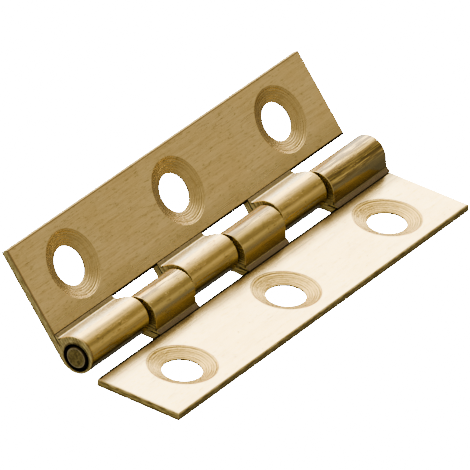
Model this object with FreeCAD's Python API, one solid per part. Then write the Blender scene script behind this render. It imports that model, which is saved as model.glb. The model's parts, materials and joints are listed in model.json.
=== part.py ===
import FreeCAD, Part
import math
import os

# Small brass butt hinge rolled from sheet: two leaves with three knuckles each
# and one loose pin. Millimetres, +Z up.
# Frame: origin at the centre of the fixed leaf's screw row, on its back face.
# +X runs from the barrel to the fixed leaf's free edge, +Y along the pin.

# ---- driving dimensions ----
LEAF_LENGTH = {"fixed": 50.5, "moving": 50.0}   # along the pin, as cut
SHEET = 0.8                 # sheet thickness
REACH = 12.3                # pin axis to the leaf's free edge
BACK_OFFSET = 2.03          # pin axis to the plane of the leaf's back face
ROLL_R = 2.03               # outer radius of the rolled knuckle
ROLL_SHIFT = 0.24           # roll centre sits this far towards its own leaf
TAIL = (2.40, -0.80)        # rolled end: outer face comes down to here (from the pin axis),
TOE = (2.84, -1.13)         # then flares out to a thin toe pressed against the leaf
PIN_R = 1.17
BORE_R = 1.25               # moving knuckles: running clearance of 0.08 on the pin
GRIP_R = 1.16               # fixed knuckles grip the pin lightly
MOUTH_R = 1.46              # opened-out mouth of the bore at the two barrel ends
MOUTH_SHIFT = (-0.03, -0.07)    # mouth lies a little off the pin axis
MOUTH_DEPTH = 0.45
PIN_PROUD = 0.10            # pin stands just out of the moving leaf's end of the barrel
PIN_RECESS = 0.12           # and lies just inside at the other end
PIN_CHAMFER = 0.10
NOTCH_EDGE = 2.66           # pin axis to the leaf edge between the knuckles

HOLE_OFFSET = 7.5           # pin axis to the screw row
HOLE_PITCH = 17.8
HOLE_R = 2.0
SINK_R = 3.55               # countersink at the inner face
SINK_STEP_R = 3.28          # steep outer rim of the countersink ends here
SINK_STEP_DEPTH = 0.14
SINK_DEPTH = 0.60

OPENING = 130.4             # angle between the leaves as drawn, 0 is closed
MOVING_SHIFT = -0.1        # moving leaf's end play along the pin

# knuckles in order along +Y: (leaf, start, end) in the fixed leaf's frame
KNUCKLES = (
    ("moving", -25.10, -15.52),
    ("fixed", -14.92, -8.15),
    ("moving", -7.85, -0.27),
    ("fixed", 0.33, 7.45),
    ("moving", 7.75, 15.23),
    ("fixed", 15.83, 25.25),
)
RIM_R = 0.10                # eased rims of the knuckles
EDGE_R = 0.18               # die roll-over on the inner side of the free edges

V = FreeCAD.Vector
INNER = -(BACK_OFFSET - SHEET)      # inner face, in the leaf's own section


def prism(points, y0, y1):
    """Extrude a (u, v) polygon from y0 to y1."""
    pts = [V(u, y0, v) for u, v in points]
    face = Part.Face(Part.makePolygon(pts + [pts[0]]))
    return face.extrude(V(0, y1 - y0, 0))


def rod(u, v, r, y0, y1):
    return Part.makeCylinder(r, y1 - y0, V(u, y0, v), V(0, 1, 0))


def tangent_point(p, c, r):
    """Upper tangent point from p to the circle (c, r)."""
    dx, dy = p[0] - c[0], p[1] - c[1]
    d = math.hypot(dx, dy)
    a = math.atan2(dy, dx) + math.acos(r / d)
    return (c[0] + r * math.cos(a), c[1] + r * math.sin(a))


def knuckle(y0, y1):
    """Rolled eye: sheet goes round the pin and lands back on the leaf."""
    c = (ROLL_SHIFT, -BACK_OFFSET + ROLL_R)
    t = tangent_point(TAIL, c, ROLL_R)
    body = rod(c[0], c[1], ROLL_R, y0, y1)
    wedge = prism([(c[0], c[1]), t, TAIL, TOE, (TOE[0], -BACK_OFFSET), (c[0], -BACK_OFFSET)], y0, y1)
    body = body.fuse(wedge)
    return body.removeSplitter()


def seam(y0, y1):
    """Gap under the cut end of the rolled sheet, with a small void at its inner end."""
    return prism([
        (1.70, INNER), (1.78, INNER + 0.15), (1.93, INNER + 0.05),
        (TOE[0] + 0.15, INNER + 0.07), (TOE[0] + 0.15, INNER)], y0, y1)


def countersink(u, y):
    """Cutter along +v for one screw hole, sunk from the inner face."""
    back = -BACK_OFFSET
    through = Part.makeCylinder(HOLE_R, SHEET + 2, V(u, y, back - 1), V(0, 0, 1))
    rim = Part.makeCone(SINK_STEP_R, SINK_R, SINK_STEP_DEPTH, V(u, y, INNER - SINK_STEP_DEPTH), V(0, 0, 1))
    cap = Part.makeCylinder(SINK_R, 1.0, V(u, y, INNER), V(0, 0, 1))
    cone = Part.makeCone(HOLE_R, SINK_STEP_R, SINK_DEPTH - SINK_STEP_DEPTH, V(u, y, INNER - SINK_DEPTH), V(0, 0, 1))
    return through.fuse([rim, cap, cone])


def leaf(which, centre_y):
    """One leaf with its knuckles, in its own section frame: pin axis on Y, inner face towards +v."""
    length = LEAF_LENGTH[which]
    half = length / 2.0
    a, b = centre_y - half, centre_y + half
    mine = [(max(k[1], a), min(k[2], b)) for k in KNUCKLES if k[0] == which]
    plate = Part.makeBox(REACH - NOTCH_EDGE, length, SHEET, V(NOTCH_EDGE, a, -BACK_OFFSET))
    body = plate
    for y0, y1 in mine:
        body = body.fuse(knuckle(y0, y1))
    body = body.removeSplitter()
    for y0, y1 in mine:
        body = body.cut(rod(0, 0, BORE_R if which == "moving" else GRIP_R, y0 - 0.5, y1 + 0.5))
        body = body.cut(seam(y0 - 0.01 if y0 > a + 0.1 else y0 - 1, y1 + 0.01 if y1 < b - 0.1 else y1 + 1))
    # opened-out bore mouth on the barrel's outer end
    end = a if which == "moving" else b
    sgn = 1 if which == "moving" else -1
    mouth = Part.makeCone(MOUTH_R, BORE_R if which == "moving" else GRIP_R, MOUTH_DEPTH, V(MOUTH_SHIFT[0], end, MOUTH_SHIFT[1]), V(0, sgn, 0))
    body = body.cut(mouth)
    for k in (-1, 0, 1):
        body = body.cut(countersink(HOLE_OFFSET, centre_y + k * HOLE_PITCH))
    return body, a, b


def ease(body, a, b):
    """Round the knuckle rims, then the inner side of the plate's free edges."""
    def rims():
        return [e for e in body.Edges if e.BoundBox.YLength < 1e-3
                and isinstance(e.Curve, Part.Circle) and abs(e.Curve.Radius - ROLL_R) < 1e-3]

    def free_edges():
        out = []
        for e in body.Edges:
            bb = e.BoundBox
            if isinstance(e.Curve, Part.Circle) or max(abs(bb.ZMin - INNER), abs(bb.ZMax - INNER)) > 1e-3:
                continue
            front = abs(bb.XMin - REACH) < 1e-3
            end = bb.YLength < 1e-3 and bb.XMin > NOTCH_EDGE - 1e-3 and min(abs(bb.YMin - a), abs(bb.YMin - b)) < 1e-3
            if front or end:
                out.append(e)
        return out

    for pick, r in ((rims, RIM_R), (free_edges, EDGE_R)):
        eased = body.makeFillet(r, pick())
        if not eased.isValid() or len(eased.Solids) != 1:
            raise SystemExit("rounding failed at %.2f" % r)
        body = eased
    return body


AXIS = V(-HOLE_OFFSET, 0, BACK_OFFSET)

# fixed leaf: its section frame is the row frame moved to the pin axis
fixed, fa, fb = leaf("fixed", 0.0)
fixed = ease(fixed, fa, fb)
fixed.translate(AXIS)

# moving leaf: the same blank turned about, then swung to the drawn opening
moving, ma, mb = leaf("moving", MOVING_SHIFT)
moving = ease(moving, ma, mb)
mirror = moving.mirror(V(0, 0, 0), V(0, 0, 1))      # closed position: inner faces meet
mirror.rotate(V(0, 0, 0), V(0, 1, 0), -OPENING)
mirror.translate(AXIS)
moving = mirror

# pin: plain drawn rod with eased ends, held in the fixed leaf's knuckles
y0 = KNUCKLES[0][1] - PIN_PROUD
y1 = KNUCKLES[-1][2] - PIN_RECESS
pin = Part.makeCylinder(PIN_R, y1 - y0, V(0, y0, 0), V(0, 1, 0))
pin = pin.makeChamfer(PIN_CHAMFER, [e for e in pin.Edges if isinstance(e.Curve, Part.Circle)])
pin.translate(AXIS)

os.makedirs("parts", exist_ok=True)
for name, shape in (("fixed_leaf", fixed), ("moving_leaf", moving), ("hinge_pin", pin)):
    solids = shape.Solids
    shape = solids[0] if len(solids) == 1 else shape
    shape.exportStep("parts/" + name + ".step")
    bb = shape.BoundBox
    print(name, "valid", shape.isValid(), "solids", len(solids), "volume %.2f" % shape.Volume,
          "box %.3f %.3f %.3f  %.3f %.3f %.3f" % (bb.XMin, bb.YMin, bb.ZMin, bb.XMax, bb.YMax, bb.ZMax))
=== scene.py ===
import bpy
import json
import math
from mathutils import Vector, Matrix

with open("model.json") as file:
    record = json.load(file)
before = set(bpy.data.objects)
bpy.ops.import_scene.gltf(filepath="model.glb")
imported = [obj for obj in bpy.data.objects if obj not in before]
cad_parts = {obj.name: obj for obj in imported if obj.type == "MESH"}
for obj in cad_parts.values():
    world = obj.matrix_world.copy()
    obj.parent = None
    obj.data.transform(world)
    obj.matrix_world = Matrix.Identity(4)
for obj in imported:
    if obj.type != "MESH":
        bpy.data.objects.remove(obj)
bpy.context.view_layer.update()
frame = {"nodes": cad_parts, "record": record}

MM = 0.001
# sizes the looks follow, in metres, read off the imported record
joint = frame["record"]["behaviour"]["joints"][0]
AXIS = Vector(joint["pos_m"])
OPEN = math.radians(-joint["range_deg"][0])
PITCH = frame["record"]["mounts"][0]["dims"]["pcd_mm"] / 2 * MM
HOLE_OFF = -AXIS.x
BACK = AXIS.z
SHEET = 0.8 * MM


# ------------------------------------------------------------------ node helpers
class Nodes:
    def __init__(self, tree):
        self.t = tree
        self.n = tree.nodes
        self.l = tree.links

    def new(self, kind, **props):
        node = self.n.new(kind)
        for k, v in props.items():
            setattr(node, k, v)
        return node

    def put(self, sock, v):
        if isinstance(v, bpy.types.NodeSocket):
            self.l.new(v, sock)
        elif v is not None:
            sock.default_value = v

    def math(self, op, a, b=None, c=None, clamp=False):
        node = self.new("ShaderNodeMath", operation=op, use_clamp=clamp)
        self.put(node.inputs[0], a)
        if b is not None:
            self.put(node.inputs[1], b)
        if c is not None:
            self.put(node.inputs[2], c)
        return node.outputs[0]

    def add(self, a, b): return self.math("ADD", a, b)
    def sub(self, a, b): return self.math("SUBTRACT", a, b)
    def mul(self, a, b): return self.math("MULTIPLY", a, b)
    def mx(self, a, b): return self.math("MAXIMUM", a, b)
    def mn(self, a, b): return self.math("MINIMUM", a, b)
    def absv(self, a): return self.math("ABSOLUTE", a)

    def step(self, x, lo, hi, smooth=True):
        """0 below lo, 1 above hi (lo may be the larger one)."""
        node = self.new("ShaderNodeMapRange")
        node.interpolation_type = "SMOOTHSTEP" if smooth else "LINEAR"
        flip = lo > hi
        self.put(node.inputs["Value"], x)
        node.inputs["From Min"].default_value = hi if flip else lo
        node.inputs["From Max"].default_value = lo if flip else hi
        node.inputs["To Min"].default_value = 1.0 if flip else 0.0
        node.inputs["To Max"].default_value = 0.0 if flip else 1.0
        return node.outputs["Result"]

    def band(self, x, a, b, c, d):
        """Rises from a to b, falls from c to d."""
        return self.mul(self.step(x, a, b), self.step(x, d, c))

    def remap(self, x, f0, f1, t0, t1):
        node = self.new("ShaderNodeMapRange")
        self.put(node.inputs["Value"], x)
        for k, v in (("From Min", f0), ("From Max", f1), ("To Min", t0), ("To Max", t1)):
            node.inputs[k].default_value = v
        return node.outputs["Result"]

    def sep(self, v):
        node = self.new("ShaderNodeSeparateXYZ")
        self.put(node.inputs[0], v)
        return node.outputs[0], node.outputs[1], node.outputs[2]

    def comb(self, x, y, z):
        node = self.new("ShaderNodeCombineXYZ")
        for i, v in enumerate((x, y, z)):
            self.put(node.inputs[i], v)
        return node.outputs[0]

    def noise(self, vec, scale=1.0, detail=2.0, rough=0.5, dist=0.0, w=None):
        node = self.new("ShaderNodeTexNoise")
        if w is not None:
            node.noise_dimensions = "4D"
            node.inputs["W"].default_value = w
        self.put(node.inputs["Vector"], vec)
        node.inputs["Scale"].default_value = scale
        node.inputs["Detail"].default_value = detail
        node.inputs["Roughness"].default_value = rough
        node.inputs["Distortion"].default_value = dist
        return node.outputs["Fac"]

    def mix(self, fac, a, b, blend="MIX"):
        node = self.new("ShaderNodeMix", data_type="RGBA", blend_type=blend)
        node.clamp_factor = True
        f = [s for s in node.inputs if s.name == "Factor" and s.type == "VALUE"][0]
        A = [s for s in node.inputs if s.name == "A" and s.type == "RGBA"][0]
        B = [s for s in node.inputs if s.name == "B" and s.type == "RGBA"][0]
        self.put(f, fac)
        self.put(A, (*a, 1.0) if isinstance(a, tuple) else a)
        self.put(B, (*b, 1.0) if isinstance(b, tuple) else b)
        return [o for o in node.outputs if o.type == "RGBA"][0]

    def scalemix(self, fac, a, b):
        node = self.new("ShaderNodeMix", data_type="FLOAT")
        f = [s for s in node.inputs if s.name == "Factor" and s.type == "VALUE"][0]
        A = [s for s in node.inputs if s.name == "A" and s.type == "VALUE"][0]
        B = [s for s in node.inputs if s.name == "B" and s.type == "VALUE"][0]
        self.put(f, fac)
        self.put(A, a)
        self.put(B, b)
        return [o for o in node.outputs if o.type == "VALUE"][0]


def material(name):
    m = bpy.data.materials.new(name)
    m.use_nodes = True
    m.node_tree.nodes.clear()
    k = Nodes(m.node_tree)
    out = k.new("ShaderNodeOutputMaterial")
    b = k.new("ShaderNodeBsdfPrincipled")
    k.l.new(b.outputs[0], out.inputs[0])
    return m, k, b


# ------------------------------------------------------------------ brass sheet
def brass_leaf(name, moving, seed, tone):
    """Brushed brass sheet. Coordinates are the leaf's own, in millimetres: u from the pin axis to the
    free edge, y along the pin, v out of the inner face."""
    m, k, b = material(name)
    tc = k.new("ShaderNodeTexCoord")
    ox, oy, oz = k.sep(tc.outputs["Object"])
    nx, ny, nz = k.sep(tc.outputs["Normal"])
    rx = k.mul(k.sub(ox, AXIS.x), 1000.0)
    rz = k.mul(k.sub(oz, AXIS.z), 1000.0)
    y = k.mul(oy, 1000.0)
    if moving:
        c, s = math.cos(OPEN), math.sin(OPEN)
        u = k.add(k.mul(rx, c), k.mul(rz, s))
        v = k.sub(k.mul(rx, s), k.mul(rz, c))
        nu = k.add(k.mul(nx, c), k.mul(nz, s))
        nv = k.sub(k.mul(nx, s), k.mul(nz, c))
        y0 = -0.1
    else:
        u, v, nu, nv = rx, rz, nx, nz
        y0 = 0.0
    yl = k.sub(y, y0)
    pos = k.comb(u, yl, v)

    # regions
    plate = k.step(u, 2.3, 2.9)                                  # flat leaf
    barrel = k.sub(1.0, plate)
    ends = k.step(k.absv(ny), 0.55, 0.9)                         # sheared end faces
    rim_edge = k.mul(k.step(k.absv(nu), 0.6, 0.9), k.step(u, 11.6, 12.0))
    notch = k.mul(k.mul(k.step(k.absv(nu), 0.75, 0.95), plate), k.step(v, -1.15, -1.25))
    sheared = k.mn(k.add(k.add(ends, rim_edge), k.mul(notch, 0.9)), 1.0)
    inner = k.mul(k.step(nv, 0.5, 0.9), plate)

    # screw hole coordinates
    pitch = PITCH / MM
    row = k.math("ROUND", k.mul(yl, 1.0 / pitch))
    hy = k.sub(yl, k.mul(row, pitch))
    hx = k.sub(u, HOLE_OFF / MM)
    r = k.math("SQRT", k.add(k.mul(hx, hx), k.mul(hy, hy)))
    sunk = k.mul(k.mul(k.step(r, 3.62, 3.50), k.step(v, -1.20, -1.26)), k.step(nv, 0.1, 0.3))

    # brushing: long fine lines along the pin, on plate and barrel alike
    ang = k.mul(k.math("ARCTAN2", v, u), 2.03)
    across = k.scalemix(plate, ang, u)
    long_v = k.comb(k.mul(across, 9.0), k.mul(yl, 0.22), seed)
    fine = k.noise(long_v, 1.6, 3.0, 0.62)
    long_w = k.comb(k.mul(across, 3.0), k.mul(yl, 0.10), seed + 3.1)
    streak = k.noise(long_w, 1.0, 3.0, 0.55)
    long_x = k.comb(k.mul(across, 26.0), k.mul(yl, 0.5), seed + 7.7)
    hair = k.noise(long_x, 1.0, 1.0, 0.5)
    cloud = k.noise(pos, 0.22, 3.0, 0.55, w=seed)
    mott = k.noise(pos, 1.1, 4.0, 0.65, w=seed + 1.0)
    grain = k.noise(pos, 7.0, 2.0, 0.6, w=seed + 2.0)

    # separate scratches, a few per knuckle, and small pits
    sc_v = k.comb(k.mul(across, 2.6), k.mul(yl, 0.16), seed + 11.0)
    scratch = k.step(k.absv(k.sub(k.noise(sc_v, 1.3, 2.0, 0.5, dist=0.25), 0.5)), 0.012, 0.0)
    breaks = k.step(k.noise(k.comb(across, k.mul(yl, 0.35), seed + 5.0), 0.9, 2.0, 0.5), 0.50, 0.60)
    scratch = k.mul(scratch, breaks)
    vor = k.new("ShaderNodeTexVoronoi", feature="F1")
    k.put(vor.inputs["Vector"], k.comb(u, k.mul(yl, 0.8), k.add(v, seed)))
    vor.inputs["Scale"].default_value = 1.35
    vor.inputs["Randomness"].default_value = 1.0
    pit_on = k.step(k.noise(pos, 0.9, 1.0, 0.5, w=seed + 4.0), 0.56, 0.62)
    pits = k.mul(k.step(vor.outputs["Distance"], 0.085, 0.05), pit_on)

    # countersink turning marks
    rings = k.math("SINE", k.mul(k.add(r, k.mul(k.noise(pos, 1.5, 2.0, 0.5, w=seed + 6.0), 0.14)), 26.0))
    rings2 = k.math("SINE", k.mul(r, 61.0))
    ring_h = k.mul(k.add(k.mul(rings, 0.6), k.mul(rings2, 0.4)), sunk)
    arc = k.noise(k.comb(k.mul(r, 5.5), k.mul(k.math("ARCTAN2", hy, hx), 0.8), seed), 1.0, 3.0, 0.6)

    # painted shade: near black in the seam where the rolled end lands on the leaf, inside the bore, on the knuckle end
    # faces round the bore and in a thin line beside the roll's tail
    rr = k.math("SQRT", k.add(k.mul(u, u), k.mul(v, v)))
    seam = k.mul(k.band(u, 1.60, 1.72, 2.86, 2.93), k.band(v, -1.26, -1.225, -1.17, -1.13))
    bore = k.mul(k.step(rr, 1.55, 1.47), k.step(k.absv(ny), 0.97, 0.80))
    gap = k.mul(k.step(k.absv(ny), 0.85, 0.97), k.step(rr, 1.70, 1.46))
    # painted shade: a dark strip on the leaf where it meets the barrel, near black on the moving leaf
    toe = k.mul(k.band(u, 2.43, 2.47, 2.86, 2.95), k.band(v, -1.19, -1.14, -0.87, -0.83))
    toe = k.mul(toe, k.step(k.absv(ny), 0.6, 0.3))
    painted_lip_shade = k.mul(k.band(u, 2.20, 2.30, 2.36, 2.42), k.band(v, -1.0, -0.9, -0.70, -0.55))
    painted_crevice_shade = k.mn(k.add(k.add(seam, bore), k.add(k.mul(gap, 0.6), k.mul(painted_lip_shade, 0.6))), 1.0)
    # painted shade on the barrel's lower side, under its overhang, and a painted reflection of the barrel on the leaf
    # beside its base
    phi = k.mul(k.math("ARCTAN2", rz, rx), 180.0 / math.pi)
    wob = k.mul(k.sub(streak, 0.5), 30.0)
    painted_under_shade = k.mul(k.mul(k.step(k.add(phi, wob), 36.0, 14.0), k.step(phi, -140.0, -100.0)), barrel)
    painted_under_shade = k.mul(painted_under_shade, k.step(k.absv(ny), 0.7, 0.3))
    worn = k.mul(k.mul(barrel, tone["worn_amt"]), k.mul(k.step(yl, 15.2, 15.7), k.step(k.add(k.mul(streak, 0.5), k.mul(fine, 0.5)), 0.40, 0.54)))
    # painted reflection of the barrel: the leaf's inner face darker beside the barrel, fading out about 5 mm from the
    # axis
    painted_barrel_reflection = k.step(k.add(u, k.mul(k.sub(k.add(k.mul(streak, 0.6), k.mul(cloud, 0.4)), 0.5), 3.0)), 5.1, 3.1)
    painted_barrel_reflection = k.mul(k.mul(painted_barrel_reflection, inner), k.step(u, 2.6, 2.8))
    # painted shade: dark streaks along the barrel's upper side, strong on the fixed leaf only
    top = k.mul(k.band(k.add(phi, k.mul(wob, 0.6)), 62.0, 78.0, 170.0, 175.0), barrel)

    # painted highlight: lighter rims round the knuckle ends
    rimlit = k.mul(k.step(k.absv(ny), 0.12, 0.35), k.step(k.absv(ny), 0.92, 0.7))
    rimlit = k.mul(rimlit, barrel)

    # colour
    base = tone["base"]
    dark = tone["dark"]
    pale = tone["pale"]
    col = k.mix(k.step(cloud, 0.30, 0.72), base, pale)
    col = k.mix(k.mul(barrel, 0.85), col, tone["barrel"])
    col = k.mix(k.mul(k.step(streak, 0.44, 0.74), 0.38), col, dark)
    col = k.mix(k.mul(k.step(fine, 0.50, 0.76), 0.60), col, dark)
    dash = k.noise(k.comb(k.mul(across, 5.0), k.mul(yl, 1.1), seed + 21.0), 1.0, 3.0, 0.6)
    col = k.mix(k.mul(k.step(dash, 0.58, 0.68), tone["dash_amt"]), col, tone["olive"])
    col = k.mix(k.mul(k.step(mott, 0.52, 0.75), 0.20), col, tone["olive"])
    col = k.mix(k.mul(k.mul(barrel, k.step(streak, 0.40, 0.62)), 0.30), col, tone["olive"])
    col = k.mix(k.mul(scratch, k.scalemix(barrel, 0.30, 0.85)), col, tone["oxide"])
    col = k.mix(k.mul(pits, 0.8), col, tone["oxide"])
    edge_v = k.mul(k.step(v, -1.74, -1.92), sheared)
    edge_u = k.mul(k.mul(k.step(k.mx(u, k.sub(k.absv(yl), k.add(tone["half"], -12.3))), 12.02, 12.16), k.step(nv, 0.3, 0.6)), 0.55)
    # painted highlight: a pale cream band along the barrel's upper ridge next to the seam, strong on the moving leaf
    painted_crown_highlight = k.mul(k.mul(k.band(phi, 96.0, 104.0, 176.0, 179.0), k.step(u, 2.46, 2.40)), k.step(k.absv(ny), 0.6, 0.3))
    shear_c = k.mix(k.step(k.noise(k.comb(k.mul(u, 0.6), k.mul(yl, 0.6), k.mul(v, 5.0)), 1.8, 3.0, 0.6), 0.35, 0.65), tone["shear_a"], tone["shear_b"])
    col = k.mix(k.mul(sheared, 0.9), col, shear_c)
    col = k.mix(k.mul(sunk, k.mul(k.step(arc, 0.45, 0.7), 0.55)), col, tone["sink"])
    col = k.mix(k.mul(worn, k.step(k.absv(ny), 0.7, 0.3)), col, tone["worn"])
    # painted shade on the barrel's lower side
    col = k.mix(k.mul(painted_under_shade, tone["painted_under_shade_amt"]), col, tone["painted_under_shade"])
    # painted reflection of the barrel on the leaf beside it
    col = k.mix(k.mul(painted_barrel_reflection, tone["barrel_reflection_amt"]), col, tone["barrel_reflection_colour"])
    # painted shade in streaks along the barrel's upper side
    col = k.mix(k.mul(top, k.mul(k.step(k.add(k.mul(streak, 0.5), k.mul(fine, 0.5)), 0.40, 0.52), tone["painted_top_shade_amt"])), col, tone["top"])
    col = k.mix(k.mul(sunk, tone["sunk_amt"]), col, tone["sunk"])
    # painted highlight on the barrel's upper ridge
    col = k.mix(k.mul(painted_crown_highlight, tone["painted_crown_highlight_amt"]), col, tone["painted_crown_highlight"])
    col = k.mix(k.mn(k.add(k.mul(edge_v, 0.75), k.mul(edge_u, tone["edge_amt"])), 1.0), col, tone["oxide"])
    # painted highlight on the knuckle end rims
    col = k.mix(k.mul(rimlit, 0.5), col, pale)
    # painted shade on the strip where the leaf meets the barrel
    col = k.mix(k.mul(toe, k.scalemix(streak, 0.80, 1.0)), col, tone["toe"])
    # painted shade: near black in the seam, the bore and the gaps between knuckles
    col = k.mix(painted_crevice_shade, col, tone["seam_shade_colour"])
    k.put(b.inputs["Base Color"], col)
    b.inputs["Metallic"].default_value = 1.0

    # roughness
    ro = k.remap(fine, 0.3, 0.75, tone["rough"] - 0.05, tone["rough"] + 0.07)
    ro = k.add(ro, k.mul(k.sub(streak, 0.5), 0.12))
    ro = k.scalemix(sheared, ro, 0.52)
    ro = k.scalemix(sunk, ro, 0.26)
    ro = k.scalemix(toe, ro, 0.42)
    ro = k.scalemix(painted_barrel_reflection, ro, 0.30)
    ro = k.scalemix(k.mul(painted_crown_highlight, 0.8), ro, 0.46)
    ro = k.scalemix(painted_crevice_shade, ro, 0.85)
    ro = k.add(ro, k.mul(k.mn(k.add(pits, k.mul(scratch, 0.6)), 1.0), 0.25))
    k.put(b.inputs["Roughness"], k.mn(k.mx(ro, 0.08), 1.0))
    b.inputs["Specular Tint"].default_value = (1.0, 1.0, 1.0, 1.0)

    # bump, heights in millimetres
    h = k.add(k.mul(fine, 0.0032), k.mul(hair, 0.0012))
    h = k.add(h, k.mul(streak, 0.0050))
    h = k.add(h, k.mul(mott, 0.0035))
    h = k.add(h, k.mul(grain, 0.0012))
    h = k.sub(h, k.mul(scratch, k.scalemix(barrel, 0.0015, 0.008)))
    h = k.sub(h, k.mul(pits, 0.02))
    h = k.add(h, k.mul(ring_h, 0.014))
    h = k.add(h, k.mul(k.mul(arc, sunk), tone["arc_h"]))
    h = k.add(h, k.mul(k.mul(k.noise(k.comb(k.mul(u, 1.2), yl, k.mul(v, 6.0)), 2.2, 3.0, 0.6), sheared), 0.035))
    bump = k.new("ShaderNodeBump")
    bump.inputs["Strength"].default_value = 1.0
    bump.inputs["Distance"].default_value = MM
    k.put(bump.inputs["Height"], h)
    k.put(b.inputs["Normal"], bump.outputs[0])
    return m


# some of these colours are painted light: the dark strip by the barrel, the near-black seams and gaps, the barrel's
# lower and upper sides and the leaf beside the barrel are painted shade and reflection; the pale ridge colour is a
# painted highlight
TONE = dict(base=(0.86, 0.635, 0.27), pale=(0.88, 0.68, 0.325), dark=(0.70, 0.485, 0.185), olive=(0.56, 0.42, 0.15),
            barrel=(0.86, 0.60, 0.20), half=25.25,
            oxide=(0.14, 0.080, 0.03), shear_a=(0.76, 0.62, 0.27), shear_b=(0.38, 0.29, 0.11), sink=(0.36, 0.235, 0.07),
            toe=(0.30, 0.22, 0.125), seam_shade_colour=(0.016, 0.012, 0.006), painted_under_shade=(0.50, 0.40, 0.20), barrel_reflection_colour=(0.33, 0.245, 0.115),
            top=(0.20, 0.15, 0.085), sunk=(0.50, 0.335, 0.10), painted_crown_highlight=(0.80, 0.70, 0.50), worn=(0.26, 0.18, 0.075), rough=0.17,
            painted_under_shade_amt=0.85, barrel_reflection_amt=1.0, painted_top_shade_amt=0.95, sunk_amt=0.85, painted_crown_highlight_amt=0.3, edge_amt=0.25, worn_amt=0.85, dash_amt=0.75, arc_h=0.05)
# the moving leaf gets less painted shade along the barrel's top, a stronger painted highlight on its upper ridge and
# less painted barrel reflection beside its base
TONE_M = dict(TONE, base=(0.89, 0.63, 0.265), pale=(0.92, 0.67, 0.30), dark=(0.68, 0.46, 0.18), olive=(0.52, 0.39, 0.15),
              barrel=(0.90, 0.62, 0.20), half=25.0, shear_a=(0.98, 0.84, 0.42), shear_b=(0.50, 0.40, 0.17),
              toe=(0.045, 0.035, 0.018), painted_top_shade_amt=0.12, barrel_reflection_amt=0.25, sunk_amt=0.35, sunk=(0.60, 0.43, 0.17), sink=(0.55, 0.36, 0.12), barrel_reflection_colour=(0.42, 0.33, 0.13),
              painted_under_shade=(0.62, 0.53, 0.28), painted_under_shade_amt=0.85, painted_crown_highlight=(1.0, 0.885, 0.60), painted_crown_highlight_amt=0.9, edge_amt=1.0, worn_amt=0.25,
              dash_amt=0.62, arc_h=0.02)


def pin_metal():
    m, k, b = material("pin_drawn_rod")
    tc = k.new("ShaderNodeTexCoord")
    ox, oy, oz = k.sep(tc.outputs["Object"])
    nx, ny, nz = k.sep(tc.outputs["Normal"])
    x = k.mul(k.sub(ox, AXIS.x), 1000.0)
    z = k.mul(k.sub(oz, AXIS.z), 1000.0)
    y = k.mul(oy, 1000.0)
    r = k.math("SQRT", k.add(k.mul(x, x), k.mul(z, z)))
    end = k.step(k.absv(ny), 0.8, 0.95)
    pos = k.comb(x, y, z)
    spots = k.noise(pos, 2.2, 4.0, 0.62)
    tiny = k.noise(pos, 9.0, 3.0, 0.6)
    lines = k.noise(k.comb(k.mul(x, 6.0), k.mul(y, 0.3), k.mul(z, 6.0)), 1.5, 3.0, 0.6)
    col = k.mix(k.step(spots, 0.35, 0.68), (0.46, 0.37, 0.15), (0.24, 0.185, 0.07))
    side = k.mix(k.step(lines, 0.35, 0.7), (0.30, 0.22, 0.10), (0.10, 0.075, 0.03))
    col = k.mix(k.sub(1.0, end), col, side)
    # painted highlight: a lighter ring on the pin end's chamfer
    pin_rim_highlight = k.mul(k.band(r, 0.88, 0.98, 1.04, 1.08), k.step(k.absv(ny), 0.85, 0.95))
    col = k.mix(k.mul(pin_rim_highlight, 0.5), col, (0.62, 0.56, 0.40))
    # painted shade: a near-black ring at the pin end's outer edge, in the gap to the bore
    painted_lip_shade = k.mul(k.step(r, 1.07, 1.10), k.step(k.absv(ny), 0.3, 0.5))
    col = k.mix(k.mul(painted_lip_shade, 0.9), col, (0.05, 0.035, 0.015))
    k.put(b.inputs["Base Color"], col)
    b.inputs["Metallic"].default_value = 1.0
    k.put(b.inputs["Roughness"], k.remap(tiny, 0.3, 0.7, 0.34, 0.58))
    h = k.add(k.mul(tiny, 0.02), k.mul(spots, 0.05))
    h = k.add(h, k.mul(k.math("SINE", k.mul(r, 24.0)), k.mul(end, 0.006)))
    bump = k.new("ShaderNodeBump")
    bump.inputs["Strength"].default_value = 1.0
    bump.inputs["Distance"].default_value = MM
    k.put(bump.inputs["Height"], h)
    k.put(b.inputs["Normal"], bump.outputs[0])
    return m


fixed = frame["nodes"]["fixed_leaf"]
moving = frame["nodes"]["moving_leaf"]
pin = frame["nodes"]["hinge_pin"]


def assign(obj, mat):
    obj.data.materials.clear()
    obj.data.materials.append(mat)


assign(fixed, brass_leaf("brass_sheet_fixed", False, 2.3, TONE))
assign(moving, brass_leaf("brass_sheet_moving", True, 17.9, TONE_M))
assign(pin, pin_metal())

# ------------------------------------------------------------------ floor and backdrop
FLOOR_Z = -0.013      # below the moving leaf's lowest reach over its whole swing


def white_card(name):
    m = bpy.data.materials.new(name)
    m.use_nodes = True
    m.node_tree.nodes.clear()
    kk = Nodes(m.node_tree)
    out = kk.new("ShaderNodeOutputMaterial")
    em = kk.new("ShaderNodeEmission")
    em.inputs["Color"].default_value = (1, 1, 1, 1)
    em.inputs["Strength"].default_value = 30.0
    kk.l.new(em.outputs[0], out.inputs[0])
    return m


def plain(name, verts, faces, mat):
    mesh = bpy.data.meshes.new(name)
    mesh.from_pydata(verts, [], faces)
    ob = bpy.data.objects.new(name, mesh)
    bpy.context.scene.collection.objects.link(ob)
    ob.data.materials.append(mat)
    ob.visible_glossy = False
    ob.visible_diffuse = False
    ob.visible_transmission = False
    ob.visible_shadow = False
    return ob


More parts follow.
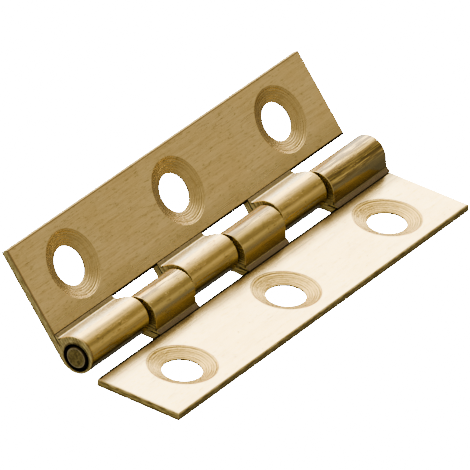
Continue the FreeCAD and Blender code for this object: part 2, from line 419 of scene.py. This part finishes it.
S = 3.0
card = white_card("pale_floor")
plain("floor", [(-S, -S, FLOOR_Z), (S, -S, FLOOR_Z), (S, S, FLOOR_Z), (-S, S, FLOOR_Z)], [(0, 1, 2, 3)], card)
plain("backdrop", [(x, y, z) for z in (-S, S) for x, y in ((-S, -S), (S, -S), (S, S), (-S, S))],
      [(0, 1, 5, 4), (1, 2, 6, 5), (2, 3, 7, 6), (3, 0, 4, 7), (4, 5, 6, 7), (3, 2, 1, 0)], card)

# ------------------------------------------------------------------ light: a soft studio surround
# Brightness follows the angle round the pin: a long softbox up and behind to the left, mid grey to the
# right, dark low down.
w = bpy.data.worlds.new("studio")
bpy.context.scene.world = w
w.use_nodes = True
w.node_tree.nodes.clear()
k = Nodes(w.node_tree)
wo = k.new("ShaderNodeOutputWorld")
bg = k.new("ShaderNodeBackground")
k.l.new(bg.outputs[0], wo.inputs[0])
tcw = k.new("ShaderNodeTexCoord")
wx, wy, wz = k.sep(tcw.outputs["Generated"])
psi = k.mul(k.math("ARCTAN2", wz, wx), 180.0 / math.pi)


def ramp(x, lo, hi, stops, top):
    node = k.new("ShaderNodeValToRGB")
    cr = node.color_ramp
    cr.interpolation = "LINEAR"
    pts = [((a - lo) / (hi - lo), v / top) for a, v in stops]
    cr.elements[0].position, cr.elements[1].position = pts[0][0], pts[-1][0]
    cr.elements[0].color = (pts[0][1],) * 3 + (1,)
    cr.elements[1].color = (pts[-1][1],) * 3 + (1,)
    for p, v in pts[1:-1]:
        e = cr.elements.new(p)
        e.color = (v, v, v, 1)
    k.put(node.inputs[0], k.remap(x, lo, hi, 0.0, 1.0))
    return k.mul(node.outputs[0], top)


RAMP = [(-180, 0.30), (-150, 0.12), (-120, 0.07), (-60, 0.14), (-20, 0.24), (10, 0.32), (20, 0.42), (31, 0.50), (40, 0.30), (52, 0.27), (62, 0.31), (73, 0.52),
        (88, 1.00), (104, 1.60), (118, 3.6), (150, 3.75), (160, 2.6), (172, 1.2), (180, 0.30)]
behind = ramp(psi, -180.0, 180.0, RAMP, 5.0)
FRONT = [(-180, 0.35), (-130, 0.30), (-60, 0.22), (0, 0.28), (40, 0.40), (80, 0.55), (110, 0.75), (150, 0.85), (180, 0.35)]
before = ramp(psi, -180.0, 180.0, FRONT, 5.0)
level = k.scalemix(k.step(wy, -0.25, 0.35), before, behind)
k.put(bg.inputs["Color"], k.comb(level, level, level))
bg.inputs["Strength"].default_value = 1.0

# ------------------------------------------------------------------ camera
AZ, EL, ROLL = 32.334, 31.594, 4.397
PX_MM, FPX = 10.185, 10000.0
TX, TY = 224.378, 253.008
a, e, ro = map(math.radians, (AZ, EL, ROLL))
back = Vector((math.sin(a) * math.cos(e), -math.cos(a) * math.cos(e), math.sin(e)))
right = Vector((math.cos(a), math.sin(a), 0))
up = back.cross(right)
R2 = right * math.cos(ro) + up * math.sin(ro)
U2 = -right * math.sin(ro) + up * math.cos(ro)
dist = FPX / PX_MM * MM
target = Vector((AXIS.x, 0.0, AXIS.z))          # this point lands at (TX, TY) of 470
loc = target + back * dist - R2 * ((TX - 235.0) / PX_MM * MM) + U2 * ((TY - 235.0) / PX_MM * MM)
cam_data = bpy.data.cameras.new("camera")
cam_data.sensor_width = 36.0
cam_data.lens = FPX * 36.0 / 470.0
cam_data.clip_start = 0.01
cam_data.clip_end = 20.0
cam = bpy.data.objects.new("camera", cam_data)
rot = Matrix((R2, U2, back)).transposed()
cam.matrix_world = Matrix.Translation(loc) @ rot.to_4x4()
bpy.context.scene.collection.objects.link(cam)
bpy.context.scene.camera = cam
bpy.context.scene.view_settings.view_transform = "AgX"
bpy.context.scene.view_settings.look = "AgX - High Contrast"
